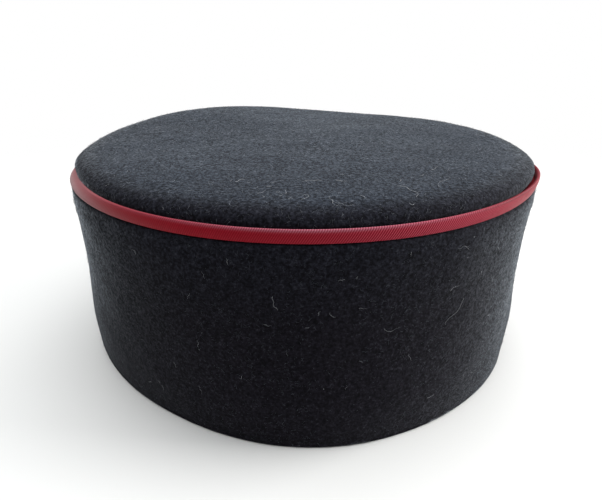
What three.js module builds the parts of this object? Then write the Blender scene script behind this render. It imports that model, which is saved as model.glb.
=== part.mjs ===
// Kullu cap: a round, flat-topped cap of thick black felt with a maroon piping round the top edge.
// Millimetres, +Z up. The hem stands on z = 0 and the origin is the middle of the head opening.
// Angles are in degrees from the front of the cap (-Y), counted towards its right side (+X).
// Sections are drawn as (radius, height) and turned about Z.
import * as THREE from 'three';

// Driving dimensions
const HEAD_GIRTH = 570; // inside of the band, a middle adult hat size
const BAND_FELT = 3;
const BAND_HEIGHT = 75.9; // hem to the seam under the piping
const CROWN_FELT = 2.2;
const CROWN_RISE = 9.1; // seam to the flat of the top
const CROWN_DOME = 0.4; // how far the middle of the top stands above its edge
const SHOULDER = 16; // width of the soft roll round the top
const SHOULDER_FULLNESS = 0.63; // 0.55 rolls it as a plain quarter of an ellipse, 1 makes it square
const SEAM_ALLOWANCE = 7; // felt and tape turned down inside the band
const TAPE = 0.8; // the folded tape where it is pressed flat in the seam
const FOLD = 1.4; // the same tape at its round outer fold
const PIPING_RISE = 4.5; // seam to the fold
const PIPING_PROUD = 0.2; // how far its face stands out from the band's
const PIPING_LEAN = 0.3; // outward lean of the fold all round
const FIT_GAP = 0.3; // air between pieces that lie against each other
const CUT_EDGE = 0.9; // rounding of a cut edge of felt
const FACETS_AROUND = 60;

// The wall of the band seen from the side: how far it stands out from a plain cylinder.
const BAND_SWELL = [
  { share: 0.0, out: 0.0 },
  { share: 0.22, out: 0.9 },
  { share: 0.45, out: 0.3 },
  { share: 0.65, out: 0.1 },
  { share: 0.82, out: 0.5 },
  { share: 0.92, out: 0.9 },
  { share: 1.0, out: 0.5 },
];
// Where the hem is pushed in or out.
const HEM_DENTS = [
  { at: -34, spread: 30, by: -3.6 },
  { at: 32, spread: 24, by: -1.0 },
  { at: -78, spread: 20, by: 1.8 },
];
const DENT_REACH = 0.85; // share of the band's height at which a dent has faded out
// Where the edge of the top stands higher or lower than its mean.
const CROWN_SWELLS = [
  { at: -139, spread: 34, by: 2.8 },
  { at: 160, spread: 32, by: -2.2 },
];
// Where the edge of the top and the piping against it lean outwards, or inwards.
const TOP_BULGES = [
  { at: -85, spread: 44, by: -2.0 },
  { at: 72, spread: 20, by: 0.7 },
  { at: 106, spread: 34, by: -2.2 },
];
// Where the roll of the top hangs out over the piping.
const CROWN_OVERHANGS = [
  { at: -78, spread: 30, by: 2.4 },
  { at: 92, spread: 28, by: 2.4 },
];

// Radii of the middle of each layer, from the band inwards and outwards.
const BAND_INSIDE = HEAD_GIRTH / (2 * Math.PI);
const BAND_MIDDLE = BAND_INSIDE + BAND_FELT / 2;
const SEAM_INSIDE = BAND_INSIDE + BAND_SWELL.at(-1).out;
const TAPE_MIDDLE = SEAM_INSIDE - FIT_GAP - TAPE / 2;
const CROWN_TURN = TAPE_MIDDLE - TAPE / 2 - FIT_GAP - CROWN_FELT / 2;
const FOLD_MIDDLE = SEAM_INSIDE + BAND_FELT + PIPING_PROUD - FOLD / 2;
const CROWN_BULGE = FOLD_MIDDLE - FOLD / 2 - FIT_GAP - CROWN_FELT / 2;
const FLAT_RADIUS = CROWN_BULGE - SHOULDER;
const TAPE_FOOT = FIT_GAP + FOLD / 2; // height of the tape's middle over the band's edge

const felt = new THREE.MeshStandardMaterial({ color: 0x1a1a1f, roughness: 0.96, metalness: 0 });
const tape = new THREE.MeshStandardMaterial({ color: 0x84202f, roughness: 0.62, metalness: 0 });

// Sum of a table's smooth bumps at one angle. Each row says where its bump lies, how far it
// spreads to either side and how strong it is.
function bumps(rows, angle) {
  let sum = 0;
  for (const { at, spread, by } of rows) {
    const away = THREE.MathUtils.euclideanModulo(angle - at + 180, 360) - 180;
    sum += by * Math.exp(-((away / spread) ** 2));
  }
  return sum;
}

// Share of the piping's rise at a height above the seam: 0 at its foot, 1 at the fold and above.
function riseShare(height) {
  return THREE.MathUtils.clamp((height - TAPE_FOOT) / (PIPING_RISE - TAPE_FOOT), 0, 1);
}

// How much a half thickness loses near a rounded edge: a quarter circle of the given radius.
function edgeLoss(distance, radius) {
  if (distance >= radius) {
    return 0;
  }
  return radius - Math.sqrt(radius ** 2 - (radius - distance) ** 2);
}

// Distances along a strip at which its section is taken: the ends of straight stretches, even
// steps along curved ones, and the corners of the rounded edges.
function stations(line, curveSteps, startRound, endRound) {
  const length = line.getLength();
  const startCorner = [0, startRound / 3, startRound];
  const endCorner = [length - endRound, length - endRound / 3, length];
  const between = [];
  let start = 0;
  for (const curve of line.curves) {
    const steps = curve.isLineCurve ? 1 : curveSteps;
    for (let i = 1; i <= steps; i += 1) {
      between.push(start + (curve.getLength() * i) / steps);
    }
    start += curve.getLength();
  }
  const inner = between.filter((mark) => mark > startRound && mark < length - endRound);
  return [...new Set([...startCorner, ...inner, ...endCorner])];
}

// The section of a strip of felt or tape: its thickness laid to both sides of a centre line.
// The points run back along the inner side and forth along the outer side.
function stripSection({ line, thickness, curveSteps, startRound = 0, endRound = 0 }) {
  const length = line.getLength();
  const inner = [];
  const outer = [];
  for (const distance of stations(line, curveSteps, startRound, endRound)) {
    const share = distance / length;
    const point = line.getPointAt(share);
    const along = line.getTangentAt(share);
    const lost = edgeLoss(distance, startRound) + edgeLoss(length - distance, endRound);
    const out = new THREE.Vector2(along.y, -along.x).multiplyScalar(thickness(share) / 2 - lost);
    outer.push(point.clone().add(out));
    inner.push(point.clone().sub(out));
  }
  return [...inner.reverse(), ...outer];
}

function closed(section) {
  return [...section, section[0].clone()];
}

// Turns a section about Z, then moves each point by a rule of its angle, radius and height.
function turn(section, rule) {
  const geometry = new THREE.LatheGeometry(section, FACETS_AROUND);
  geometry.rotateX(Math.PI / 2);
  const position = geometry.attributes.position;
  for (let i = 0; i < position.count; i += 1) {
    const x = position.getX(i);
    const y = position.getY(i);
    const angle = Math.atan2(x, -y);
    const degrees = THREE.MathUtils.radToDeg(angle);
    const moved = rule(degrees, Math.hypot(x, y), position.getZ(i));
    position.setXYZ(i, moved.radius * Math.sin(angle), -moved.radius * Math.cos(angle), moved.height);
  }
  geometry.computeVertexNormals();
  return geometry;
}

function named(name, geometry, material) {
  const mesh = new THREE.Mesh(geometry, material);
  mesh.name = name;
  return mesh;
}

// The upright wall: straight at the hem, slightly waisted above it, pushed in at the dents.
function sideBand() {
  const swell = BAND_SWELL.map(
    ({ share, out }) => new THREE.Vector2(BAND_MIDDLE + out, share * BAND_HEIGHT),
  );
  const line = new THREE.Path();
  line.moveTo(swell[0].x, 0);
  line.lineTo(swell[0].x, 2 * CUT_EDGE);
  line.splineThru(swell.slice(1));
  const section = stripSection({
    line,
    thickness: () => BAND_FELT,
    curveSteps: 7,
    startRound: CUT_EDGE,
    endRound: CUT_EDGE,
  });
  const dented = (angle, radius, height) => {
    const fade = 1 - THREE.MathUtils.smoothstep(height / BAND_HEIGHT, 0, DENT_REACH);
    return { radius: radius + fade * bumps(HEM_DENTS, angle), height };
  };
  return named('side_band', turn(closed(section), dented), felt);
}

// The top, with heights counted from the seam: it comes up inside the tape, bulges out against
// the fold, rolls over the shoulder and runs flat to the middle.
function crownTop() {
  const turned = 0.1 * PIPING_RISE;
  const bulge = 0.9 * PIPING_RISE;
  const between = (turned + bulge) / 2;
  const flat = CROWN_RISE - CROWN_FELT / 2;
  const middle = flat + CROWN_DOME;
  const line = new THREE.Path();
  line.moveTo(CROWN_TURN, -SEAM_ALLOWANCE);
  line.lineTo(CROWN_TURN, turned);
  line.bezierCurveTo(CROWN_TURN, between, CROWN_BULGE, between, CROWN_BULGE, bulge);
  line.bezierCurveTo(
    CROWN_BULGE, THREE.MathUtils.lerp(bulge, flat, SHOULDER_FULLNESS),
    FLAT_RADIUS + SHOULDER_FULLNESS * SHOULDER, flat,
    FLAT_RADIUS, flat,
  );
  line.quadraticCurveTo(FLAT_RADIUS / 2, middle, 0, middle);
  const section = stripSection({
    line,
    thickness: () => CROWN_FELT,
    curveSteps: 6,
    startRound: 0.8 * CUT_EDGE,
  });
  const uneven = (angle, radius, height) => {
    const above = THREE.MathUtils.smoothstep(height, PIPING_RISE - 0.5, PIPING_RISE + 2);
    const leans = riseShare(height) * bumps(TOP_BULGES, angle);
    const pushed = (leans + above * bumps(CROWN_OVERHANGS, angle)) * (radius / CROWN_BULGE) ** 4;
    const lift = THREE.MathUtils.smoothstep(height, bulge / 2, flat) * bumps(CROWN_SWELLS, angle);
    const outwards = THREE.MathUtils.smoothstep(radius, 0, CROWN_BULGE);
    return { radius: radius + pushed, height: height + lift * outwards };
  };
  return named('crown_top', turn(section, uneven), felt);
}

// The folded tape, with heights counted from the seam: flat between crown and band, out over
// the band's edge, then up to its round fold. The top turns it outwards or inwards about its foot.
function piping() {
  const line = new THREE.Path();
  line.moveTo(TAPE_MIDDLE, -SEAM_ALLOWANCE);
  line.lineTo(TAPE_MIDDLE, -CUT_EDGE);
  line.bezierCurveTo(
    TAPE_MIDDLE, TAPE_FOOT / 2,
    TAPE_MIDDLE + TAPE / 2, TAPE_FOOT,
    TAPE_MIDDLE + 2 * TAPE, TAPE_FOOT,
  );
  line.bezierCurveTo(
    FOLD_MIDDLE - FOLD / 2, TAPE_FOOT,
    FOLD_MIDDLE, TAPE_FOOT + FOLD / 2,
    FOLD_MIDDLE, TAPE_FOOT + FOLD,
  );
  line.lineTo(FOLD_MIDDLE + PIPING_LEAN, PIPING_RISE);
  const thickening = (share) => THREE.MathUtils.smoothstep(share, 0.4, 0.7);
  const section = stripSection({
    line,
    thickness: (share) => THREE.MathUtils.lerp(TAPE, FOLD, thickening(share)),
    curveSteps: 4,
    startRound: 0.3 * TAPE,
    endRound: 0.45 * FOLD,
  });
  const arm = PIPING_RISE - TAPE_FOOT;
  const leaning = (angle, radius, height) => {
    const out = bumps(TOP_BULGES, angle);
    const drop = arm - Math.sqrt(arm ** 2 - out ** 2);
    const share = riseShare(height);
    return { radius: radius + share * out, height: height - share * drop };
  };
  return named('piping', turn(closed(section), leaning), tape);
}

const top = new THREE.Group();
top.position.z = BAND_HEIGHT;
top.add(crownTop(), piping());

const cap = new THREE.Group();
cap.add(sideBand(), top);

export default cap;
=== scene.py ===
# %% [markdown]
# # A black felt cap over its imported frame
# The cap is a plain round pillbox: a strip of thick black felt closed into a ring, a round of felt
# sewn on for its top, and a maroon tape folded double in the seam between the two.
# The frame holds these three as plain solids of the right size. Each is replaced below by a finer
# surface of the same form, because felt and tape live from relief that a plain solid lacks.

# %% Load the frame
import math

import bpy
import numpy as np
from mathutils import Matrix


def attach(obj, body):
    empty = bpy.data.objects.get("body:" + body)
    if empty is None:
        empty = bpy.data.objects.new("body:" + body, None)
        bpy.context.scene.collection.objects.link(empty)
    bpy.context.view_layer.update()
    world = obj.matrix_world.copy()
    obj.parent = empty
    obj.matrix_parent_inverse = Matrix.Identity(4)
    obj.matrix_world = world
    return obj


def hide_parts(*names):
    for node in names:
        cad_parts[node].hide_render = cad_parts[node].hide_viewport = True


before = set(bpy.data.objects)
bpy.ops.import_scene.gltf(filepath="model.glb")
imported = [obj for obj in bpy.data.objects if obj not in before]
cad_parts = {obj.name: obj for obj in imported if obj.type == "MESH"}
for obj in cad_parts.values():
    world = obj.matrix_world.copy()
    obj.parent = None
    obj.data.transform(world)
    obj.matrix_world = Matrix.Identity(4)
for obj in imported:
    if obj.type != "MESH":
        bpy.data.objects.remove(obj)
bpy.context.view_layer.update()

MM = 0.001


# %% [markdown]
# ## Camera
# The picture was taken from close by, which makes the front of the cap look much wider than its
# back. A camera can be placed by eye and nudged, but perspective depends on its place alone, so
# the place, the tilt and the focal length were worked out from the cap's outline first, and the
# camera is simply put there.

# %% Camera
IMAGE_WIDTH = 602
FOCAL_PIXELS = 506
SENSOR_WIDTH = 36
NEAREST_SEEN = 0.01
CAMERA_AT = (0, -220.2, 131.8)
LOOK_DOWN = 24.49
PAN = -0.2
ROLL = 0.15


def turned(degrees, axis):
    """Rotation by an angle in degrees about one axis."""
    return Matrix.Rotation(math.radians(degrees), 4, axis)


camera = bpy.data.objects.new("camera", bpy.data.cameras.new("camera"))
camera.data.sensor_width = SENSOR_WIDTH
camera.data.lens = SENSOR_WIDTH * FOCAL_PIXELS / IMAGE_WIDTH
camera.data.clip_start = NEAREST_SEEN
camera_place = Matrix.Translation([MM * part for part in CAMERA_AT])
camera_place = camera_place @ turned(-PAN, "Z") @ turned(90 - LOOK_DOWN, "X")
camera.matrix_world = camera_place @ turned(ROLL, "Z")
bpy.context.scene.collection.objects.link(camera)
bpy.context.scene.camera = camera
print("focal length", round(camera.data.lens, 2), "mm")

# %% [markdown]
# ## Sizes
# The cap has few sizes, and the whole form follows from them: a middle adult head, the thickness
# of the two felts and of the tape, and how high the seam, the piping and the top lie above each
# other. They repeat the sizes of the solids, so that the new surfaces lie where the solids do.
# Only the roll of the top is a little fuller here, as the soft felt shows it.

# %% Sizes in millimetres
HEAD_GIRTH = 570
BAND_FELT = 3
BAND_HEIGHT = 75.9
CROWN_FELT = 2.2
CROWN_RISE = 9.1
CROWN_DOME = 0.4
SHOULDER = 16
SHOULDER_FULLNESS = 0.74
SEAM_ALLOWANCE = 7
TAPE = 0.8
FOLD = 1.4
PIPING_RISE = 4.5
PIPING_PROUD = 0.2
PIPING_LEAN = 0.3
FIT_GAP = 0.3
CUT_EDGE = 0.9

# The wall seen from the side: share of its height, and how far it stands out from a cylinder.
BAND_SWELL = np.array([
    (0.22, 0.9),
    (0.45, 0.3),
    (0.65, 0.1),
    (0.82, 0.5),
    (0.92, 0.9),
    (1.0, 0.5),
])

BAND_INSIDE = HEAD_GIRTH / (2 * math.pi)
BAND_MIDDLE = BAND_INSIDE + BAND_FELT / 2
SEAM_INSIDE = BAND_INSIDE + BAND_SWELL[-1, 1]
TAPE_MIDDLE = SEAM_INSIDE - FIT_GAP - TAPE / 2
CROWN_TURN = TAPE_MIDDLE - TAPE / 2 - FIT_GAP - CROWN_FELT / 2
FOLD_MIDDLE = SEAM_INSIDE + BAND_FELT + PIPING_PROUD - FOLD / 2
CROWN_BULGE = FOLD_MIDDLE - FOLD / 2 - FIT_GAP - CROWN_FELT / 2
FLAT_RADIUS = CROWN_BULGE - SHOULDER
TAPE_FOOT = FIT_GAP + FOLD / 2
print("band inside", round(2 * BAND_INSIDE, 1), "mm across")
print("flat of the top", round(2 * FLAT_RADIUS, 1), "mm across")

# %% [markdown]
# ## A strip and its section
# Every piece of this cap is a strip of even cloth with a bent section that runs round the head.
# A section could be modelled by hand and spun, but felt also needs a thousand small lumps. So a
# strip is kept as numbers: points on its centre line, the outward direction at each of them and
# half its thickness, which shrinks at a rounded cut edge.

# %% Centre lines


def straight(start, end, steps=24):
    """Points on a straight line, evenly spaced."""
    return np.linspace(start, end, steps + 1)


def bezier(start, pull_start, pull_end, end, steps=48):
    """Cubic curve: the four points weighted by (1-t)^3, 3t(1-t)^2, 3t^2(1-t) and t^3."""
    t = np.linspace(0, 1, steps + 1)[:, None]
    a, b, c, d = np.array([start, pull_start, pull_end, end], dtype=float)
    return a * (1 - t) ** 3 + 3 * b * t * (1 - t) ** 2 + 3 * c * t**2 * (1 - t) + d * t**3


def spline(points, steps=16):
    """Smooth curve through points: between two of them, a cubic whose slope at each point is half
    the way from the point before it to the point after it."""
    padded = np.vstack([points[:1], points, points[-1:]])
    p0, p1, p2, p3 = (padded[k:len(padded) - 3 + k, None, :] for k in range(4))
    t = np.linspace(0, 1, steps + 1)[None, :, None]
    slope_1 = (p2 - p0) / 2
    slope_2 = (p3 - p1) / 2
    cubic = (2 * p1 - 2 * p2 + slope_1 + slope_2) * t**3
    square = (3 * p2 - 3 * p1 - 2 * slope_1 - slope_2) * t**2
    return (cubic + square + slope_1 * t + p1).reshape(-1, 2)


# %% Strips of cloth
CORNER_POINTS = 5


def read_off(at, along, pairs):
    """Pairs of numbers known at distances along a line, read off in between at other distances."""
    return np.stack([np.interp(at, along, numbers) for numbers in pairs.T], axis=-1)


def strip(line, thickness, spacing, start_round=0, end_round=0, thinner_ends=0):
    """Cuts a centre line into even steps, with closer ones at the rounded ends. Gives the distance
    along the line, the points, the outward normals (the slope turned right) and half the thickness.
    With t going from 0 to 1 along the line, the thickness is its full measure times
    1 - thinner_ends (2t - 1)^2, less what a quarter circle takes off near each rounded end."""
    along = np.concatenate([[0], np.cumsum(np.linalg.norm(np.diff(line, axis=0), axis=1))])
    length = along[-1]
    corner = 1 - np.cos(np.linspace(0, np.pi / 2, CORNER_POINTS))
    even = np.linspace(0, length, round(length / spacing) + 1)
    even = even[(even >= start_round) & (even <= length - end_round)]
    marks = np.concatenate([even, start_round * corner, length - end_round * corner])
    distance = np.unique(np.round(marks, 6))
    middle = read_off(distance, along, line)
    slope = np.gradient(middle, distance, axis=0)
    slope /= np.linalg.norm(slope, axis=1, keepdims=True)
    out = np.stack([slope[:, 1], -slope[:, 0]], axis=1)
    half = thickness * (1 - thinner_ends * (2 * (distance / length) - 1) ** 2) / 2
    for to_end, edge in ((distance, start_round), (length - distance, end_round)):
        inside = np.clip(edge - to_end, 0, None)
        half = half - (edge - np.sqrt(np.clip(edge**2 - inside**2, 0, None)))
    return {"distance": distance, "middle": middle, "out": out, "half": half}


# %% [markdown]
# ## Turning a strip round the head
# A worn cap is not quite round. Its hem has been pushed in here and there, the edge of its top
# stands a little higher on one side, and the top bulges over the seam. Each of these is a smooth
# bump at some angle from the front, and each piece has a rule that moves its points by them.
# The same bumps also say where painted shade and painted light lie on the felt and the tape.

# %% Bumps, and points on a turned strip


def smoothstep(x, low, high):
    """0 below one limit, 1 above the other, and 3t^2 - 2t^3 between them."""
    t = np.clip((x - low) / (high - low), 0, 1)
    return t * t * (3 - 2 * t)


def bumps(rows, degrees):
    """Sum of bell curves round the cap: each is by * exp(-((angle - at) / spread)^2)."""
    total = 0 * degrees
    for at, spread, by in rows:
        away = (degrees - at + 180) % 360 - 180
        total = total + by * np.exp(-((away / spread) ** 2))
    return total


def place(middle, out, lift, degrees, rule):
    """Points of a turned strip: from the centre line, go out by a lift, let the rule of the piece
    move radius and height, then turn by the angle: x = r sin(a), y = -r cos(a), z = height."""
    radius = middle[..., 0] + lift * out[..., 0]
    height = middle[..., 1] + lift * out[..., 1]
    radius, height = rule(degrees, radius, height)
    angle = np.radians(degrees)
    x, y, z = np.broadcast_arrays(radius * np.sin(angle), -radius * np.cos(angle), height)
    return np.stack([x, y, z], axis=-1)


def columns_round(count):
    """Angles of the columns of a closed ring, as one upright array."""
    return np.arange(count)[:, None] * 360 / count


# %% [markdown]
# ## Uneven felt
# Milled felt is never flat: fibres mat together into soft lumps from a few millimetres to a few
# centimetres wide. A displacement modifier would do that at render time, but here the lumps are
# added to the points themselves, as a sum of waves in space, which has no seam and no poles.

# %% Lumps of the felt


def lumps(points, shortest, longest, height, seed, count=48):
    """Sum of plane waves cos(k . p + phase) with random directions and lengths, longer waves being
    higher in proportion. Scaled to the wanted height, as a root mean square."""
    rng = np.random.default_rng(seed)
    length = np.exp(rng.uniform(np.log(shortest), np.log(longest), count))
    heading = rng.normal(size=(count, 3))
    heading *= (2 * np.pi / length / np.linalg.norm(heading, axis=1))[:, None]
    phase = rng.uniform(0, 2 * np.pi, count)
    total = np.zeros(points.shape[:-1])
    for direction, start, wave in zip(heading, phase, length):
        total += wave * np.cos(points @ direction + start)
    return total * height / np.sqrt((length**2).sum() / 2)


# %% [markdown]
# ## From arrays to meshes
# A grid of points becomes a mesh when each small square of four neighbours becomes a face. The
# squares are index arrays too, so even a large grid is built in one step. A ring closes on itself
# both round the head and round its section, so its faces wrap in both directions.

# %% Mesh helpers


def ring_faces(columns, rows, closed=True):
    """Squares of a grid that wraps round its columns, and round its rows as well if closed."""
    index = np.arange(columns * rows).reshape(columns, rows)
    beside = np.roll(index, -1, axis=0)
    above = np.roll(index, -1, axis=1)
    corner = np.roll(beside, -1, axis=1)
    squares = np.stack([index, beside, corner, above], axis=-1)
    return (squares if closed else squares[:, :-1]).reshape(-1, 4)


def solid(name, points, face_sets, material, values=None):
    """Makes a smooth mesh object from points in millimetres, arrays of faces and named values."""
    mesh = bpy.data.meshes.new(name)
    points = np.asarray(points, dtype=np.float64).reshape(-1, 3) * MM
    corners = np.concatenate([faces.ravel() for faces in face_sets])
    sizes = np.concatenate([np.full(len(faces), faces.shape[1]) for faces in face_sets])
    mesh.vertices.add(len(points))
    mesh.vertices.foreach_set("co", points.ravel())
    mesh.loops.add(len(corners))
    mesh.loops.foreach_set("vertex_index", corners.astype(np.int32))
    mesh.polygons.add(len(sizes))
    mesh.polygons.foreach_set("loop_start", (np.cumsum(sizes) - sizes).astype(np.int32))
    mesh.update(calc_edges=True)
    mesh.validate()
    mesh.polygons.foreach_set("use_smooth", np.ones(len(sizes), dtype=bool))
    for label, numbers in (values or {}).items():
        store = mesh.attributes.new(label, "FLOAT", "POINT")
        store.data.foreach_set("value", np.asarray(numbers, dtype=np.float32).ravel())
    mesh.materials.append(material)
    piece = bpy.data.objects.new(name, mesh)
    bpy.context.scene.collection.objects.link(piece)
    print(name, len(points), "points,", int((sizes - 2).sum()), "triangles")
    return piece


def onto_cap(piece, slot, *nodes):
    """Lets a piece ride on the cap's root and hides the solids that it stands for.
    The slot is not used.
    """
    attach(piece, "root")
    if nodes:
        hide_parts(*nodes)


# %% [markdown]
# ## Writing shaders as sums
# A finish is a net of nodes, and most of them are plain arithmetic. Wiring each Math node by hand
# hides the formula, so one small class wraps a socket and lets it be added and multiplied like a
# number. Any other node comes from its one method, which sets the node up and then links it.

# %% Shader expressions


class Wire:
    """One output of a node, which can stand in Python expressions."""

    def __init__(self, socket):
        self.socket = socket
        self.tree = socket.id_data

    @staticmethod
    def node(tree, kind, settings=None, sockets=None, output=0):
        """Adds a node: its settings first, then the values or links of its sockets."""
        made = tree.nodes.new("ShaderNode" + kind)
        for label, value in (settings or {}).items():
            setattr(made, label, value)
        Wire.feed(tree, made, sockets or {})
        return Wire(made.outputs[output])

    @staticmethod
    def feed(tree, made, sockets):
        """Sets or links sockets of a node by their name or number."""
        for label, value in sockets.items():
            if isinstance(value, Wire):
                tree.links.new(value.socket, made.inputs[label])
            else:
                made.inputs[label].default_value = value

    def math(self, operation, first, second):
        """Adds a Math node on two values."""
        return Wire.node(self.tree, "Math", {"operation": operation}, {0: first, 1: second})

    def __add__(self, other):
        return self.math("ADD", self, other)

    def __radd__(self, other):
        return self.math("ADD", other, self)

    def __sub__(self, other):
        return self.math("SUBTRACT", self, other)

    def __rsub__(self, other):
        return self.math("SUBTRACT", other, self)

    def __mul__(self, other):
        return self.math("MULTIPLY", self, other)

    def __rmul__(self, other):
        return self.math("MULTIPLY", other, self)

    def between(self, low, high):
        """Smooth mask: 0 where the value is below one limit, 1 where it is above the other."""
        limits = {"Value": self, "From Min": low, "From Max": high}
        return Wire.node(self.tree, "MapRange", {"interpolation_type": "SMOOTHSTEP"}, limits)

    def blend(self, dark, light):
        """Mixes two colours by this value."""
        settings = {"data_type": "RGBA", "clamp_factor": True}
        return Wire.node(self.tree, "Mix", settings, {0: self, 6: dark, 7: light}, output=2)


# %% [markdown]
# Four small helpers cover what every finish below needs: a new material with its constant values,
# noise that sits still in the object's own space, a value that the mesh itself carries, and a bump
# with its height in millimetres. An image texture could do the same, but it has to be unwrapped.

# %% Finish helpers


def colour(red, green, blue):
    """Opaque colour for a socket."""
    return (red, green, blue, 1)


def finish(name, fixed):
    """New material, with the constant values of its shader set by socket name. Gives the material,
    its node tree and its shader node."""
    material = bpy.data.materials.new(name)
    material.use_nodes = True
    shader = material.node_tree.nodes["Principled BSDF"]
    Wire.feed(material.node_tree, shader, fixed)
    return material, material.node_tree, shader


def grain(tree, millimetres, detail, rough):
    """Noise in space whose largest lumps are about so many millimetres wide, from 0 to 1."""
    return Wire.node(tree, "TexNoise", sockets={
        "Vector": Wire.node(tree, "TexCoord", output=3),
        "Scale": 1 / (millimetres * MM),
        "Detail": detail,
        "Roughness": rough,
    })


def carried(tree, label):
    """Value that the points of a mesh carry under a name, and 0 on a mesh without it."""
    return Wire.node(tree, "Attribute", {"attribute_name": label}, output=2)


def raised_by(tree, height, millimetres, strength):
    """Bump that rises by so many millimetres as the height goes from 0 to 1."""
    sockets = {"Strength": strength, "Distance": millimetres * MM, "Height": height}
    return Wire.node(tree, "Bump", sockets=sockets)


# %% [markdown]
# ## Black felt
# The felt is wool dyed black and milled until it mats. Seen straight on it is nearly black; seen
# along the surface it turns bluish grey, because the loose fibre ends catch light from behind.
# A plain grey diffuse colour would lose that, so the base stays very dark and the shader's sheen
# makes the grey. Noise at three scales gives matted fibres, tufts and slow changes of the dye.
# Sheen can't vary over a surface by itself. So two shaders are mixed, one for the gaps between the
# fibres, with hardly any sheen, and one for raised fibres. Two values on the mesh steer the rest:
# a grey that is partly dust and partly painted light, which lightens the felt where light falls
# from above, and painted shade, which takes sheen away where the cap lies in shade.

# %% Felt finish
BLACK_GROUND = colour(0.0019, 0.0017, 0.003)
BLACK_FIBRE = colour(0.0105, 0.009, 0.0146)
# The grey below is partly dust and partly painted light from above.
GREY_DUST_AND_LIGHT = colour(0.07, 0.094, 0.13)
PALE_FLECK = colour(0.13, 0.14, 0.16)
DUST_AND_LIGHT_COVER = 0.44
FLECKS = 0.16
FLECKS_WITH_DUST_AND_LIGHT = 0.5
SHEEN_IN_GAPS = 0.08
SHEEN_RAISED = 0.92
MEAN_MATTING = 0.48
EVENED_WITHOUT_DUST_AND_LIGHT = 0.25
wool_gloss = {
    "Specular IOR Level": 0.1,
    "Sheen Roughness": 0.28,
    "Sheen Tint": colour(0.82, 0.91, 1.0),
}
felt, felt_tree, felt_shader = finish("black_felt", {**wool_gloss, "Sheen Weight": SHEEN_IN_GAPS})
fibres = grain(felt_tree, millimetres=1.0, detail=3, rough=0.75)
tufts = grain(felt_tree, millimetres=2.4, detail=3, rough=0.6)
dye = grain(felt_tree, millimetres=30, detail=2, rough=0.5)
# Grey share on the points: partly dust, partly painted light.
dust_and_painted_light = carried(felt_tree, "dust_and_painted_light")
# Share of the sheen taken away on the points: painted shade.
sheen_cut_for_shade = carried(felt_tree, "sheen_cut_for_shade")
matted = (fibres * 0.8 + tufts * 0.2).between(0.37, 0.65)
ground = matted.blend(BLACK_GROUND, BLACK_FIBRE)
dust_and_light = dust_and_painted_light * (0.8 + 0.2 * dye.between(0.3, 0.7)) * (0.1 + 0.9 * matted)
dust_and_light_felt = (dust_and_light * DUST_AND_LIGHT_COVER).blend(ground, GREY_DUST_AND_LIGHT)
fleck_share = FLECKS + FLECKS_WITH_DUST_AND_LIGHT * dust_and_painted_light * dust_and_painted_light
flecks = fibres.between(0.58, 0.7) * tufts.between(0.42, 0.58) * fleck_share
felt_sockets = {
    "Base Color": flecks.blend(dust_and_light_felt, PALE_FLECK),
    "Roughness": 0.98 - matted * 0.1,
    "Normal": raised_by(felt_tree, fibres, millimetres=0.3, strength=0.6),
}
Wire.feed(felt_tree, felt_shader, felt_sockets)
in_gaps = Wire(felt_shader.outputs[0])
raised = Wire.node(felt_tree, "BsdfPrincipled", sockets={
    **wool_gloss,
    **felt_sockets,
    "Sheen Weight": SHEEN_RAISED,
})
upright = matted + (1 - dust_and_painted_light) * EVENED_WITHOUT_DUST_AND_LIGHT * (MEAN_MATTING - matted)
whole_felt = Wire.node(felt_tree, "MixShader", sockets={
    0: upright * (1 - sheen_cut_for_shade),
    1: in_gaps,
    2: raised,
})
Wire.feed(felt_tree, felt_tree.nodes["Material Output"], {"Surface": whole_felt})
print("felt finish:", len(felt_tree.nodes), "nodes")

# %% [markdown]
# ## The side band
# The band is one strip of felt, closed into a ring and standing on its hem. It could be a cylinder
# with a Solidify modifier, but its wall swells a little above the hem and again under the seam,
# its lower edge is pushed in at the front, and its rim leans out at both sides. So its section is
# turned point by point, and a rule moves the points.

# %% Rule of the band
# Bumps round the cap: each row is an angle from the front, a spread in degrees and a size.
HEM_DENTS = [
    (-34, 30, -3.6),
    (32, 24, -1.0),
    (-78, 20, 1.8),
]
SEAM_FLARES = [
    (-68, 16, 0.5),
    (70, 16, 0.9),
]
# Shares of the height where the dents end and where the flares begin.
DENT_REACH = 0.85
FLARE_FROM = 0.78


def flare(degrees, height):
    """How far the rim leans out at both sides, from nothing below it to all at the seam."""
    return smoothstep(height / BAND_HEIGHT, FLARE_FROM, 1) * bumps(SEAM_FLARES, degrees)


def band_rule(degrees, radius, height):
    """Pushes the wall in or out at the dents, most at the hem and not at all near the seam, and
    leans its rim out."""
    fade = 1 - smoothstep(height / BAND_HEIGHT, 0, DENT_REACH)
    return radius + fade * bumps(HEM_DENTS, degrees) + flare(degrees, height), height


# %% Felt as a closed ring
INNER_EVERY = 3
EDGE_ROWS = 5
# Lumps of the felt: the shortest and the longest, and their height.
BAND_LUMPS = (16, 50, 0.13)
BAND_TUFTS = (3, 8, 0.02)


def both_sides(count, back):
    """Closed section of a strip: all its rows up the outer side, then the given rows back down
    the inner side. Gives the rows, and 1 for the outer or -1 for the inner side."""
    pick = np.append(np.arange(count), back)
    return pick, np.where(np.arange(len(pick)) < count, 1, -1)


def inner_rows(count):
    """Rows of the inner side of a felt, from the last to the first: every third is enough."""
    return np.unique(np.append(np.arange(0, count, INNER_EVERY), count - 1))[::-1]


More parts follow.
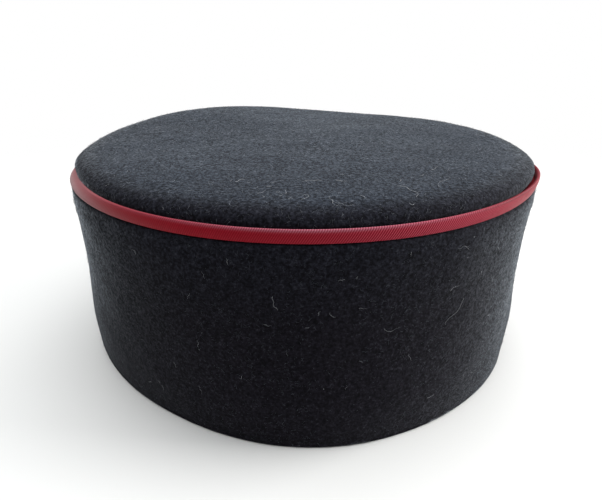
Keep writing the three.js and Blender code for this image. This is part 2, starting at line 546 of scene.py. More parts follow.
def felt_ring(parts, degrees, rule, seed):
    """Closed section of a felt strip, turned round the head, with lumps that swell it along its
    normals and fade out at its edges."""
    count = len(parts["distance"])
    pick, side = both_sides(count, inner_rows(count))
    middle = parts["middle"][pick]
    out = parts["out"][pick]
    lift = side * parts["half"][pick]
    plain = place(middle, out, lift, degrees, rule)
    away_from_edges = smoothstep(np.minimum(pick, count - 1 - pick), 0, EDGE_ROWS)
    relief = lumps(plain, *BAND_LUMPS, seed) + lumps(plain, *BAND_TUFTS, seed + 1)
    lift = lift + side * relief * away_from_edges
    return place(middle, out, lift, degrees, rule)


# %% [markdown]
# The band's sewn edge is rounded more than its hem, which leaves the crease that shows under the
# tape. Painted shade takes sheen away along the hem and at the front left, and painted light greys
# the wall a little under the seam. Both are values on the points, because they belong to places on
# this wall.

# %% Side band
BAND_COLUMNS = 600
SEWN_EDGE = 1.1
# Painted shade: sheen taken away at the front left and along the hem.
FRONT_LEFT_SHADE = [(-55, 26, 0.5)]
HEM_SHADE = 0.5
# Painted light: the wall greyed a little under the seam.
PAINTED_LIGHT_UNDER_SEAM = 0.2
band_foot = (BAND_MIDDLE, 2 * CUT_EDGE)
swell = np.stack([BAND_MIDDLE + BAND_SWELL[:, 1], BAND_SWELL[:, 0] * BAND_HEIGHT], axis=1)
band_line = np.vstack([
    straight((BAND_MIDDLE, 0), band_foot),
    spline(np.vstack([band_foot, swell])),
])
band_strip = strip(band_line, BAND_FELT, 0.9, start_round=CUT_EDGE, end_round=SEWN_EDGE)
band_columns = columns_round(BAND_COLUMNS)
band_points = felt_ring(band_strip, band_columns, band_rule, seed=3)
band_share = band_points[..., 2] / BAND_HEIGHT
hem_sheen_cut = HEM_SHADE * (1 - smoothstep(band_share, 0.05, 0.55))
front_left_sheen_cut = bumps(FRONT_LEFT_SHADE, band_columns) * (1 - smoothstep(band_share, 0.35, 1.05))
band_values = {
    "dust_and_painted_light": PAINTED_LIGHT_UNDER_SEAM * smoothstep(band_share, 0.55, 1),
    "sheen_cut_for_shade": hem_sheen_cut + front_left_sheen_cut,
}
band_faces = ring_faces(*band_points.shape[:2])
side_band = solid("felt_band", band_points, [band_faces], felt, band_values)
onto_cap(side_band, "black_felt", "side_band")

# %% [markdown]
# ## The top
# The top is a round of thinner felt. It comes up inside the tape, bulges against the fold, rolls
# over a soft shoulder and runs nearly flat to the middle. At both sides the felt is pressed against
# the tape and hangs over its fold, and the edge is higher at the back left than at the back right.

# %% Rule of the top
CROWN_SWELLS = [
    (-139, 34, 2.8),
    (160, 32, -2.2),
]
TOP_BULGES = [
    (-85, 44, -2.0),
    (72, 20, 0.7),
    (106, 34, -2.2),
]
CROWN_OVERHANGS = [
    (-80, 30, 1.5),
    (92, 28, 0.9),
]
PRESSED = [
    (-70, 20, 0.8),
    (70, 18, 0.7),
]
TURNED = 0.1 * PIPING_RISE
BULGE = 0.9 * PIPING_RISE
FLAT = CROWN_RISE - CROWN_FELT / 2


def rise_share(height):
    """Share of the piping's rise: 0 at its foot, 1 at the fold and above."""
    return np.clip((height - TAPE_FOOT) / (PIPING_RISE - TAPE_FOOT), 0, 1)


def crown_rule(degrees, radius, height):
    """Bulges the top out over the seam, presses it against the tape, lets it hang over the fold on
    both sides, and lifts or drops its edge; the middle stays."""
    rise = rise_share(height)
    against_tape = rise * (1 - smoothstep(height, PIPING_RISE + 1, FLAT))
    over_fold = smoothstep(height, PIPING_RISE - 0.5, PIPING_RISE + 2)
    pushed = rise * bumps(TOP_BULGES, degrees)
    pushed = pushed + against_tape * bumps(PRESSED, degrees)
    pushed = pushed + over_fold * bumps(CROWN_OVERHANGS, degrees)
    pushed = pushed * (radius / CROWN_BULGE) ** 4
    lift = smoothstep(height, BULGE / 2, FLAT) * bumps(CROWN_SWELLS, degrees)
    lift = lift * smoothstep(radius, 0, CROWN_BULGE)
    return radius + pushed, height + lift + BAND_HEIGHT


# %% Section of the top
crown_line = np.vstack([
    straight((CROWN_TURN, -SEAM_ALLOWANCE), (CROWN_TURN, TURNED)),
    bezier(
        (CROWN_TURN, TURNED),
        (CROWN_TURN, (TURNED + BULGE) / 2),
        (CROWN_BULGE, (TURNED + BULGE) / 2),
        (CROWN_BULGE, BULGE),
    ),
    bezier(
        (CROWN_BULGE, BULGE),
        (CROWN_BULGE, BULGE + SHOULDER_FULLNESS * (FLAT - BULGE)),
        (FLAT_RADIUS + SHOULDER_FULLNESS * SHOULDER, FLAT),
        (FLAT_RADIUS, FLAT),
    ),
])
CROWN_STEP = 0.8
CROWN_EDGE = 0.8 * CUT_EDGE
crown_strip = strip(crown_line, CROWN_FELT, CROWN_STEP, start_round=CROWN_EDGE)
crown_strip["out"][-1] = (0, 1)
print("shoulder:", len(crown_strip["half"]), "rows")

# %% [markdown]
# A spun disc would have a pole in the middle of the top with hundreds of thin triangles. So only
# the shoulder is turned, and a square grid bent into a disc closes the flat above and below. The
# edges of grid and shoulder have the same points, which are merged.

# %% Round grid


def disc_grid(steps):
    """Square grid bent into a unit disc: each ring of the square becomes a circle, with its points
    evenly spread. Gives radius and angle in degrees for each point, and the faces."""
    ticks = np.linspace(-1, 1, steps + 1)
    a, b = np.meshgrid(ticks, ticks, indexing="ij")
    wide = np.abs(a) > np.abs(b)
    radius = np.where(wide, a, b)
    safe = np.where(radius == 0, 1, radius)
    angle = np.where(wide, 45 * b / safe, 90 - 45 * a / safe)
    angle = np.where(radius < 0, angle + 180, angle)
    index = np.arange((steps + 1) ** 2).reshape(steps + 1, steps + 1)
    corners = [index[:-1, :-1], index[1:, :-1], index[1:, 1:], index[:-1, 1:]]
    return np.abs(radius), angle, np.stack(corners, axis=-1).reshape(-1, 4)


def merged(points, within=0.001):
    """Finds points that lie together, equal after rounding to a thousandth of a millimetre. Gives
    the number of the first of each, and for every point the number of the one that it becomes."""
    keys = np.round(points / within).astype(np.int64)
    _, first, which = np.unique(keys, axis=0, return_index=True, return_inverse=True)
    return first, which.reshape(-1)


# %% Felt of the top
CROWN_COLUMNS = 600
CROWN_LUMPS = (18, 50, 0.07)
CROWN_TUFTS = (3, 8, 0.012)
CROWN_SEED = 11


def crown_sheet(side, parts, degrees):
    """One side of the top's felt with its lumps: outside for side = 1, inside for side = -1."""
    middle, out, half = parts["middle"], parts["out"], parts["half"]
    plain = place(middle, out, side * half, degrees, crown_rule)
    relief = lumps(plain, *CROWN_LUMPS, CROWN_SEED) + lumps(plain, *CROWN_TUFTS, CROWN_SEED + 1)
    above_seam = smoothstep(middle[..., 1], 0.5 * PIPING_RISE, PIPING_RISE + 2)
    return place(middle, out, side * half + relief * above_seam, degrees, crown_rule)


disc_radius, disc_angle, disc_faces = disc_grid(CROWN_COLUMNS // 4)
disc_rise = FLAT + CROWN_DOME * (1 - disc_radius**2)
disc_strip = {
    "middle": np.stack([FLAT_RADIUS * disc_radius, disc_rise], axis=-1),
    "out": np.stack([0 * disc_radius, 0 * disc_radius + 1], axis=-1),
    "half": CROWN_FELT / 2,
}
crown_columns = columns_round(CROWN_COLUMNS)
inside_rows = inner_rows(len(crown_strip["half"]))
inside_strip = {key: numbers[inside_rows] for key, numbers in crown_strip.items()}
shoulder_in = crown_sheet(-1, inside_strip, crown_columns)
shoulder_out = crown_sheet(1, crown_strip, crown_columns)
shoulder = np.concatenate([shoulder_in, shoulder_out], axis=1)
disc_top = crown_sheet(1, disc_strip, disc_angle).reshape(-1, 3)
disc_under = crown_sheet(-1, disc_strip, disc_angle).reshape(-1, 3)
ring_count = shoulder.shape[0] * shoulder.shape[1]
print("top:", ring_count, "points on the shoulder,", len(disc_top), "on the flat")

# %% [markdown]
# The grey on the flat is partly dust and partly painted light from above. Over the roll it fades,
# which paints shade there, and a fifth stays at the roll's foot as painted light. Under the grey,
# painted shade takes part of the sheen away, the more so at the back right.

# %% Top of the cap
# Painted shade: the grey fades over the roll; a fifth stays at its foot as painted light.
ROLL_SHADE = 0.8
# Painted shade: share of the sheen taken away under the grey, more at the back right.
FLAT_SHEEN_CUT = 0.62
BACK_RIGHT_SHADE = [(115, 40, 0.13)]
roll_radius, roll_height = crown_strip["middle"].T
dust_and_light_out = 1 - ROLL_SHADE * smoothstep(roll_radius, FLAT_RADIUS + 6, CROWN_BULGE - 0.5)
dust_and_light_out = dust_and_light_out * (roll_height > BULGE)
dust_and_light_shoulder = np.concatenate([np.zeros(len(inside_rows)), dust_and_light_out])
crown_dust_and_light = np.concatenate([
    np.broadcast_to(dust_and_light_shoulder, shoulder.shape[:2]).ravel(),
    np.ones(len(disc_top)),
    np.zeros(len(disc_under)),
])
crown_points = np.concatenate([shoulder.reshape(-1, 3), disc_top, disc_under])
crown_faces = np.concatenate([
    ring_faces(*shoulder.shape[:2], closed=False),
    disc_faces + ring_count,
    disc_faces[:, ::-1] + ring_count + len(disc_top),
])
crown_degrees = np.degrees(np.arctan2(crown_points[:, 0], -crown_points[:, 1]))
crown_radius = np.hypot(crown_points[:, 0], crown_points[:, 1])
top_sheen_cut = FLAT_SHEEN_CUT + bumps(BACK_RIGHT_SHADE, crown_degrees) * smoothstep(crown_radius, 20, 60)
kept, which = merged(crown_points)
crown_values = {"dust_and_painted_light": crown_dust_and_light[kept], "sheen_cut_for_shade": (top_sheen_cut * crown_dust_and_light)[kept]}
crown_top = solid("felt_top", crown_points[kept], [which[crown_faces]], felt, crown_values)
onto_cap(crown_top, "black_felt", "crown_top")

# %% [markdown]
# ## Maroon tape
# The tape is a silky twill. Its ribs are painted with shine along their crests and shade between,
# and no two ribs are dyed quite alike. Light is painted on it from place to place: a pinker satin
# highlight at the front right and at the left end, pale glints on the ribs of the fold at the
# front, and a pale sheen at both ends of the front, while painted shade darkens the back and the
# fold at the right. An image could hold all that, but those marks belong to the ribs. So the mesh
# carries them as values, and the finish reads the values.

# %% Tape finish
# Rib colours: painted shade in the valleys, painted shine on the crests.
RIB_SHADE_TO_SHINE = (colour(0.225, 0.003, 0.009), colour(0.32, 0.005, 0.017))
# Pinker colours of a painted satin highlight.
PAINTED_SATIN_HIGHLIGHT = (colour(0.21, 0.005, 0.014), colour(0.5, 0.08, 0.122))
# Pale colours of painted glints on the ribs of the fold.
PAINTED_GLINTS = (colour(0.31, 0.055, 0.085), colour(0.45, 0.155, 0.205))
# Pale colour of a painted sheen at both ends of the front.
PAINTED_END_SHEEN = colour(0.42, 0.26, 0.265)
# Dark colour of painted shade at the back and on the fold at the right.
TAPE_IN_PAINTED_SHADE = colour(0.11, 0.003, 0.008)
tape, tape_tree, tape_shader = finish("maroon_tape", {
    "Specular IOR Level": 0.1,
    "Specular Tint": colour(1.0, 0.6, 0.7),
    "Sheen Weight": 0.03,
    "Sheen Roughness": 0.3,
    "Sheen Tint": colour(1.0, 0.7, 0.78),
})
tape_labels = ("rib", "rib_dye", "satin_highlight", "folded", "end_sheen", "tape_shade")
rib, rib_dye, satin_highlight, folded, end_sheen, tape_shade = (
    carried(tape_tree, label) for label in tape_labels
)
thread = grain(tape_tree, millimetres=0.35, detail=3, rough=0.6)
crest = (rib * 0.5 + 0.5) * 0.75 + thread * 0.3 + rib_dye * 0.08
on_rib = rib.between(-0.3, 0.8)
highlit_tape = satin_highlight.blend(crest.between(0.1, 1.1).blend(*RIB_SHADE_TO_SHINE), on_rib.blend(*PAINTED_SATIN_HIGHLIGHT))
fold_glint_tape = folded.blend(highlit_tape, on_rib.blend(*PAINTED_GLINTS))
end_sheen_tape = end_sheen.blend(fold_glint_tape, PAINTED_END_SHEEN)
Wire.feed(tape_tree, tape_shader, {
    "Base Color": tape_shade.blend(end_sheen_tape, TAPE_IN_PAINTED_SHADE),
    "Roughness": 0.55 - 0.1 * crest.between(0.3, 1.0),
    "Normal": raised_by(tape_tree, thread, millimetres=0.06, strength=0.35),
})
print("tape finish:", len(tape_tree.nodes), "nodes")

# %% [markdown]
# ## The piping
# A tape folded double is caught in the seam with its fold standing up, and covers the cut edges of
# the felt. It leans with the felt behind it, and at both sides its fold lies closer to the felt and
# a little lower. A bevelled curve could make such a band, but not its ribs, so its section is
# turned round the head as the felts are.

# %% Piping
FOLD_SPREADS = [
    (64, 16, 0.35),
    (92, 14, -1.6),
    (-66, 18, -1.2),
    (-92, 16, -1.4),
]
FOLD_DROPS = [
    (-88, 16, 1.0),
    (88, 14, 1.2),
]
FLAP_FOOT = 0.1
FLAP_THINNER = 0.45


def piping_rule(degrees, radius, height):
    """A bulge of the top turns the standing tape outwards about its foot, and the tape follows the
    rim of the band."""
    arm = PIPING_RISE - TAPE_FOOT
    out = bumps(TOP_BULGES, degrees)
    share = rise_share(height)
    drop = arm - np.sqrt(arm**2 - out**2)
    height = height - share * drop + BAND_HEIGHT
    return radius + share * out + flare(degrees, height), height


def flap_rule(degrees, radius, height):
    """The rule of the piping, with its fold spread outwards or drawn in, and lowered."""
    share = rise_share(height)
    radius, height = piping_rule(degrees, radius, height)
    radius = radius + share * bumps(FOLD_SPREADS, degrees)
    return radius, height - share * bumps(FOLD_DROPS, degrees)


flap_line = straight((FOLD_MIDDLE, FLAP_FOOT), (FOLD_MIDDLE + PIPING_LEAN, PIPING_RISE))
flap_strip = strip(
    flap_line, FOLD,
    spacing=0.5, start_round=0.3, end_round=0.36, thinner_ends=FLAP_THINNER,
)
flap_count = len(flap_strip["distance"])
flap_rows, flap_side = both_sides(flap_count, np.arange(flap_count)[::-INNER_EVERY])
from_fold = (flap_strip["distance"][-1] - flap_strip["distance"])[flap_rows]
print("piping:", len(flap_rows), "rows")

# %% [markdown]
# The ribs of the tape lean, because bias tape is cut across the weave. Bump mapping alone would
# leave its edge smooth, so every rib is real: the columns of the grid follow the ribs, five to a
# rib, and the surface rises and sinks along them by some hundredths of a millimetre. The tape was
# pulled round by hand, so their spacing is eased: three times round the cap it goes from close to
# wide. The ribs stand out most where the satin highlight is painted.

# %% Ribs of the tape
RIB_PITCH = 0.79
RIB_LEAN = 30
RIB_HEIGHT = 0.055
STEPS_PER_RIB = 5
EASED = 2.3
EASED_AT = -12
EASED_TIMES = 3
# Painted satin highlight: the tape is pinker there and its ribs stand higher.
SATIN_HIGHLIGHTS = [
    (30, 25, 0.9),
    (-84, 26, 1.0),
]
RIBS = round(2 * math.pi * (FOLD_MIDDLE + FOLD / 2) / RIB_PITCH)
rng = np.random.default_rng(21)
column = np.arange(RIBS * STEPS_PER_RIB)
wave = np.cos(2 * np.pi * column / STEPS_PER_RIB)[:, None]
rib_dyes = np.repeat(rng.normal(0, 0.45, RIBS), STEPS_PER_RIB)[:, None]
even_degrees = columns_round(len(column))
eased = EASED * np.sin(np.radians(EASED_TIMES * (even_degrees - EASED_AT)))
rib_degrees = even_degrees - eased
slant = flap_side * from_fold * math.tan(math.radians(RIB_LEAN))
flap_degrees = rib_degrees - np.degrees(slant / FOLD_MIDDLE)
near_fold = 1 - smoothstep(from_fold, 0.2, 1.2)
highlit = bumps(SATIN_HIGHLIGHTS, rib_degrees)
standing = 0.4 + 0.15 * near_fold + 0.75 * highlit
rib_relief = RIB_HEIGHT * wave * standing * (1 + 0.3 * rib_dyes)
flap_half = flap_strip["half"][flap_rows]
flap_lift = flap_side * (flap_half + np.maximum(rib_relief, -flap_half / 2))
print(RIBS, "ribs")

# %% Piping mesh
# Painted glints along the fold, most at the front.
GLINTING_FOLD = [(4, 26, 0.85)]
# Painted shade at the back, and on the fold at the right.
BACK_SHADE = [(150, 72, 0.85)]
RIGHT_FOLD_SHADE = [(48, 14, 0.6)]
# Painted sheen at both ends of the front.
SHEEN_AT_ENDS = [
    (-62, 20, 1.0),
    (62, 16, 0.4),
]
flap_middle = flap_strip["middle"][flap_rows]
flap_out = flap_strip["out"][flap_rows]
flap_points = place(flap_middle, flap_out, flap_lift, flap_degrees, flap_rule)
flap_grid = flap_points.shape[:2]
# Share of the painted end sheen, less near the fold.
pale = 0.45 + 0.55 * smoothstep(from_fold, 0.3, 3.4)
flap_values = {
    "rib": np.broadcast_to(wave, flap_grid),
    "rib_dye": np.broadcast_to(rib_dyes, flap_grid),
    "satin_highlight": np.broadcast_to(np.clip(highlit, 0, 1), flap_grid),
    "folded": near_fold * (0.15 + bumps(GLINTING_FOLD, rib_degrees)),
    "end_sheen": pale * bumps(SHEEN_AT_ENDS, rib_degrees),
    "tape_shade": bumps(BACK_SHADE, rib_degrees) + near_fold * bumps(RIGHT_FOLD_SHADE, rib_degrees),
}
piping = solid("tape_piping", flap_points, [ring_faces(*flap_grid)], tape, flap_values)
onto_cap(piping, "maroon_tape", "piping")

# %% [markdown]
# Below its fold the same tape goes on into the seam, flat between the two felts. Only its cut edge
# shows from underneath, so this part is a plain narrow strip, which starts inside the fold.

# %% Tape inside the seam
SEWN_COLUMNS = 360
over_edge = (TAPE_MIDDLE + 2 * TAPE, TAPE_FOOT)
sewn_line = np.vstack([
    straight((TAPE_MIDDLE, -SEAM_ALLOWANCE), (TAPE_MIDDLE, -CUT_EDGE)),
    bezier(
        (TAPE_MIDDLE, -CUT_EDGE),
        (TAPE_MIDDLE, TAPE_FOOT / 2),
        (TAPE_MIDDLE + TAPE / 2, TAPE_FOOT),
        over_edge,
    ),
    straight(over_edge, (FOLD_MIDDLE, TAPE_FOOT)),
])
sewn_strip = strip(sewn_line, TAPE, 1.0, start_round=0.3 * TAPE)
sewn_count = len(sewn_strip["distance"])
sewn_rows, sewn_side = both_sides(sewn_count, np.arange(sewn_count)[::-1])
sewn_points = place(
    sewn_strip["middle"][sewn_rows],
    sewn_strip["out"][sewn_rows],
    sewn_side * sewn_strip["half"][sewn_rows],
    columns_round(SEWN_COLUMNS),
    piping_rule,
)
sewn_grid = sewn_points.shape[:2]
sewn_values = dict.fromkeys(("rib", "rib_dye"), np.zeros(sewn_grid))
sewn = solid("tape_in_seam", sewn_points, [ring_faces(*sewn_grid)], tape, sewn_values)
onto_cap(sewn, "maroon_tape", "piping")

# %% [markdown]
# ## Nap
# Felt has a nap: ends of wool that lie almost flat and stand off a little, which blurs its outline.
# Hair particles would make it, but they are not a mesh that can be kept. So each end is a thin
# three-sided tube, laid on the felt along a curved path and lifted at its tip, and all of them are
# worked out at once.

# %% Strands on a strip
NEAREST_MIDDLE = 4


def strands(parts, rule, at, degrees, heading, reach, curl, rise, points, wobble=0, clear=0.05):
    """Paths that lie on a strip's outer side. Each starts at a distance along the strip and an
    angle, walks in equal steps, and turns evenly by its curl, with a wobble on top: a sine whose
    pace and start differ from strand to strand. Its lift off the felt grows as the square of the
    way. Gives the points, and the same points 1 mm further out, from which the outward direction
    follows."""
    t = np.linspace(0, 1, points)[None, :]
    start = heading[:, None]
    bend = curl[:, None]
    course = start + bend * t
    course = course + wobble * np.sin(9 * t * (1 + 0.3 * np.cos(7 * start)) + 5 * bend)
    step = reach[:, None] / (points - 1)
    distance = parts["distance"]
    along = at[:, None] + np.cumsum(step * np.sin(course), axis=1)
    along = np.clip(along, distance[0], distance[-1])
    across = np.cumsum(step * np.cos(course), axis=1)
    middle = read_off(along, distance, parts["middle"])
    out = read_off(along, distance, parts["out"])
    half = np.interp(along, distance, parts["half"])
    angle = degrees[:, None] + np.degrees(across / np.maximum(middle[..., 0], NEAREST_MIDDLE))
    lift = half + clear + rise[:, None] * t**2
    return place(middle, out, lift, angle, rule), place(middle, out, lift + 1, angle, rule)


def tubes(path, outward, thick, sides=3):
    """Thin closed tubes round many paths: at each point a ring of corners, half the thickness away
    from it, spread from the sideways to the outward direction, and thinner towards the tip. Gives
    points and faces."""
    along = np.gradient(path, axis=1)
    along /= np.linalg.norm(along, axis=-1, keepdims=True)
    side = np.cross(along, outward - path)
    side /= np.linalg.norm(side, axis=-1, keepdims=True)
    up = np.cross(side, along)
    turn = 2 * np.pi * np.arange(sides) / sides
    ring = np.cos(turn)[:, None] * side[:, :, None] + np.sin(turn)[:, None] * up[:, :, None]
    taper = np.minimum(1, np.linspace(1.6, 0.5, path.shape[1]))[None, :, None, None]
    points = path[:, :, None] + ring * taper * thick[:, None, None, None] / 2
    index = np.arange(points.size // 3).reshape(points.shape[:3])
    beside = np.roll(index, -1, axis=2)
    walls = np.stack([index[:, :-1], index[:, 1:], beside[:, 1:], beside[:, :-1]], axis=-1)
    ends = np.concatenate([index[:, 0], index[:, -1, ::-1]])
    return points, [walls.reshape(-1, 4), ends]


def scattered(parts, rng, count, low, high):
    """Distances along a strip, scattered evenly over its turned surface: of many trials between two
    limits, those are kept whose radius is larger than a random one."""
    trial = rng.uniform(low, high, 6 * count)
    radius = np.interp(trial, parts["distance"], parts["middle"][:, 0])
    return trial[rng.uniform(0, BAND_MIDDLE, 6 * count) < radius][:count]


# %% [markdown]
# Most ends are as black as the ground, some are grey, and a few are pale. The shade is one value
# for each end, kept on the points of its tube.

# %% Nap finish
nap, nap_tree, nap_shader = finish("wool_ends", {
    "Roughness": 0.85,
    "Specular IOR Level": 0.1,
    "Sheen Weight": 0.25,
    "Sheen Roughness": 0.4,
    "Sheen Tint": colour(0.74, 0.87, 1.0),
})
shade = carried(nap_tree, "shade")
Wire.feed(nap_tree, nap_shader, {
    "Base Color": shade.blend(colour(0.006, 0.006, 0.007), colour(0.4, 0.42, 0.46)),
})
print("nap finish:", len(nap_tree.nodes), "nodes")

# %% Nap of the band and of the top
WOOL_ENDS = 14000
HIGHEST_END = 1.2


def nap_piece(name, parts, rule, low, high, dark, pale, pale_from, seed):
    """Scatters wool ends over the part of a strip between two distances along it. Their shades
    crowd the more at black the larger dark is, and a share of them is pale."""
    rng = np.random.default_rng(seed)
    at = scattered(parts, rng, WOOL_ENDS, low, high)
    count = len(at)
    path, outward = strands(
        parts,
        rule,
        at,
        degrees=rng.uniform(-180, 180, count),
        heading=rng.uniform(-np.pi, np.pi, count),
        reach=rng.uniform(0.5, 1.7, count),
        curl=rng.normal(0, 0.8, count),
        rise=np.minimum(rng.exponential(0.2, count), HIGHEST_END),
        points=3,
    )
    points, faces = tubes(path, outward, rng.uniform(0.04, 0.075, count))
    tone = rng.beta(1.5, dark, count)
    is_pale = (rng.uniform(size=count) < pale) & (at > pale_from)
    tone = np.where(is_pale, rng.uniform(0.25, 1, count), tone)
    tones = np.repeat(tone, points.shape[1] * points.shape[2])
    onto_cap(solid(name, points, faces, nap, {"shade": tones}), "black_felt")


whole_top = np.vstack([crown_line, straight((FLAT_RADIUS, FLAT), (0.5, FLAT + CROWN_DOME))])
whole_strip = strip(whole_top, CROWN_FELT, CROWN_STEP, start_round=CROWN_EDGE)
band_end = band_strip["distance"][-1]
top_end = whole_strip["distance"][-1]
shown_from = SEAM_ALLOWANCE + PIPING_RISE
nap_piece(
    "band_nap", band_strip, band_rule,
    low=1.5, high=band_end - 1, dark=60, pale=0.004, pale_from=0, seed=31,
)
nap_piece(
    "top_nap", whole_strip, crown_rule,
    low=shown_from, high=top_end, dark=9, pale=0.1, pale_from=shown_from + 7, seed=32,
)

# %% [markdown]
# ## Lint
# Black wool gathers pale lint, and on this cap some dozens of curly hairs and specks show. They are
# the same kind of tube as the nap, longer, with more turns and nearly white. The plainest of them
# are laid where the cap has them, row by row, and finer ones are scattered in between.

# %% Lint finish
lint, lint_tree, lint_shader = finish("pale_lint", {"Roughness": 0.8, "Specular IOR Level": 0.2})
dusty = grain(lint_tree, millimetres=3, detail=2, rough=0.5).between(0.3, 0.7)
Wire.feed(lint_tree, lint_shader, {
    "Base Color": dusty.blend(colour(0.3, 0.31, 0.33), colour(0.55, 0.57, 0.6)),
})
print("lint finish:", len(lint_tree.nodes), "nodes")

# %% Hairs laid one by one
# Hairs of the wall: angle from the front, height, heading (90 is up), length, bend and thickness.
WALL_HAIRS = np.array([
    (-5, 60, -105, 5.2, 55, 0.06),
    (-21, 40, -88, 4.0, 5, 0.05),
    (-28, 27, -30, 2.0, 0, 0.05),
    (-37, 12, 0, 0.8, 200, 0.1),
    (-33, 14, -80, 3.0, 0, 0.05),
    (-22, 21, -60, 2.8, 10, 0.04),
    (-33, 66, 20, 2.5, 150, 0.05),
    (-13, 71, -90, 2.0, 10, 0.05),
    (-18, 66, -60, 2.5, -20, 0.04),
    (-7, 50, -45, 2.4, 60, 0.05),
    (6, 65, 5, 2.2, 0, 0.05),
    (10, 55, -5, 2.6, 0, 0.04),
    (15, 47, -25, 6.0, 40, 0.05),
    (29, 55, 20, 4.0, 0, 0.06),
    (34, 51, -135, 11.0, 0, 0.07),
    (43, 51, 80, 2.4, 0, 0.07),
    (42, 65, -45, 2.0, 0, 0.07),
    (29, 70, 10, 5.0, -25, 0.05),
    (19, 72, -95, 1.6, 0, 0.05),
    (44, 37, 0, 0.9, 150, 0.12),
    (4, 26, 0, 0.7, 150, 0.07),
    (11, 16, 40, 0.8, 150, 0.07),
    (27, 14, 0, 3.0, 20, 0.05),
])
# Hairs of the top: the same, with the radius in place of the height (90 is towards the middle).
TOP_HAIRS = np.array([
    (22, 75, -50, 12.0, -70, 0.1),
    (20, 88, -80, 2.0, 100, 0.1),
    (6, 80, -105, 8.5, 50, 0.06),
    (6, 84, -60, 6.5, 60, 0.05),
    (0, 65, 0, 6.0, 0, 0.12),
    (9, 65, -40, 4.0, 0, 0.14),
    (-9, 72, 0, 1.6, 0, 0.2),
    (-18, 70, 80, 4.0, -20, 0.15),
    (-10, 79, 0, 2.8, 0, 0.1),
    (40, 68, 0, 4.5, 15, 0.1),
    (30, 83, 25, 14.0, 10, 0.05),
    (12, 80, -85, 5.0, 0, 0.06),
    (-4, 78, 20, 1.5, 120, 0.1),
    (-5, 80, -30, 1.2, 90, 0.09),
    (-3, 82, 60, 1.5, -100, 0.08),
    (-6, 77, 0, 1.2, 0, 0.1),
    (25, 72, 10, 2.2, 60, 0.1),
    (33, 70, -20, 2.5, 40, 0.09),
])
# A hair starts at a distance along the strip. On the wall that is its height; on the top, the
# radius is looked up on the strip, from the edge inwards.
inwards = whole_strip["middle"][:, 1] > BULGE
inward_radius = whole_strip["middle"][inwards, 0]
inward_distance = whole_strip["distance"][inwards]
TOP_HAIRS[:, 1] = np.interp(-TOP_HAIRS[:, 1], -inward_radius, inward_distance)
print(len(WALL_HAIRS), "hairs on the wall,", len(TOP_HAIRS), "on the top")

# %% Lint


def lint_piece(name, parts, rule, laid, count, low, high, seed):
    """Lays the given hairs and scatters more among them, from specks half a millimetre long to
    hairs of several millimetres. A hair keeps its heading, turned evenly by its bend."""
    rng = np.random.default_rng(seed)
    at = scattered(parts, rng, count, low, high)
    heading, bend = np.radians(laid[:, [2, 4]]).T
    path, outward = strands(
        parts,
        rule,
        np.append(laid[:, 1], at),
        degrees=np.append(laid[:, 0], rng.uniform(-180, 180, count)),
        heading=np.append(heading, rng.uniform(-np.pi, np.pi, count)),
        reach=np.append(laid[:, 3], np.clip(rng.lognormal(0.3, 0.7, count), 0.5, 7)),
        curl=np.append(bend, rng.normal(0, 2.2, count)),
        rise=np.minimum(rng.exponential(0.3, len(laid) + count), HIGHEST_END),
        points=12,
        wobble=0.5,
        clear=0.2,
    )
    thick = np.append(laid[:, 5], rng.uniform(0.03, 0.055, count))
    points, faces = tubes(path, outward, thick, sides=4)
    onto_cap(solid(name, points, faces, lint), "black_felt")


lint_piece(
    "band_lint", band_strip, band_rule, WALL_HAIRS,
    count=60, low=3, high=band_end - 2, seed=41,
)
lint_piece(
    "top_lint", whole_strip, crown_rule, TOP_HAIRS,
    count=120, low=shown_from, high=top_end, seed=42,
)

# %% [markdown]
# ## Floor
# The cap stands on a pale table in a bright room that is white all round. A plane would do, but its
# edge would show from the side. So the floor is a wide disc that turns clear away from the cap and
# fades into the white of the room.

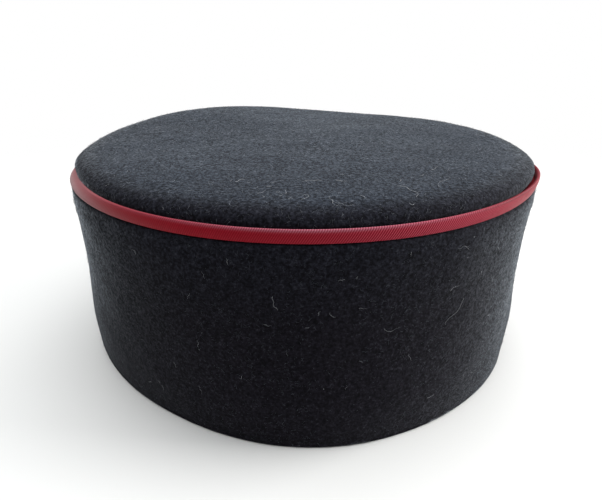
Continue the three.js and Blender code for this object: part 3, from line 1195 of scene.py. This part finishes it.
# %% Floor
FLOOR_REACH = 900
FLOOR_SIDES = 64
FADE_FROM = 100
FADE_TO = 0.5 * FLOOR_REACH
floor_finish, floor_tree, floor_shader = finish("pale_floor", {
    "Roughness": 0.85,
    "Specular IOR Level": 0.1,
})
clouded = grain(floor_tree, millimetres=180, detail=2, rough=0.5).between(0.2, 0.8)
floor_place = Wire.node(floor_tree, "TexCoord", output=3)
floor_away = Wire.node(
    floor_tree,
    "VectorMath",
    {"operation": "LENGTH"},
    {0: floor_place},
    output=1,
)
Wire.feed(floor_tree, floor_shader, {
    "Base Color": clouded.blend(colour(0.82, 0.82, 0.81), colour(0.86, 0.86, 0.85)),
    "Alpha": 1 - floor_away.between(FADE_FROM * MM, FADE_TO * MM),
})
rim = np.radians(columns_round(FLOOR_SIDES)[:, 0])
floor_points = FLOOR_REACH * np.stack([np.cos(rim), np.sin(rim), 0 * rim], axis=-1)
floor = solid("floor", floor_points, [np.arange(FLOOR_SIDES)[None, :]], floor_finish)

# %% [markdown]
# ## Light
# Soft light comes from a wide ceiling, the strongest from a window at the right, and a little comes
# back from a white wall behind at the left. Each is a square area light, because a lamp with a size
# gives the soft shading that felt needs. The room adds the rest: the camera sees it as pure white,
# while the cap gets only a share of that.

# %% Light
ROOM_LIGHT = 0.28
COOL_WHITE = (0.97, 0.99, 1.0)
WARM_WHITE = (1.0, 0.99, 0.97)


def soft_light(name, at, toward, size, watts, tint):
    """Square area light at a point, turned to face another, both in metres."""
    lamp = bpy.data.lights.new(name, "AREA")
    lamp.shape = "SQUARE"
    lamp.size = size
    lamp.energy = watts
    lamp.color = tint
    holder = bpy.data.objects.new(name, lamp)
    aim = np.subtract(toward, at)
    tilt = math.atan2(math.hypot(aim[0], aim[1]), -aim[2])
    holder.location = at
    holder.rotation_euler = (tilt, 0, math.atan2(-aim[0], aim[1]))
    bpy.context.scene.collection.objects.link(holder)
    print(name, watts, "W")


soft_light("ceiling", (-0.05, 0.15, 1.5), (0, 0, 0), 2.0, 32, COOL_WHITE)
soft_light("window", (0.94, 0.07, 0.32), (0, 0, 0.04), 0.6, 13.0, WARM_WHITE)
soft_light("white wall", (-0.62, 0.62, 0.4), (0, 0, 0.03), 0.8, 1.2, WARM_WHITE)

world = bpy.data.worlds.new("room")
world.use_nodes = True
bpy.context.scene.world = world
seen = Wire.node(world.node_tree, "LightPath")
Wire.feed(world.node_tree, world.node_tree.nodes["Background"], {
    "Color": colour(1, 1, 1),
    "Strength": seen * (1 - ROOM_LIGHT) + ROOM_LIGHT,
})
bpy.context.scene.view_settings.view_transform = "Standard"
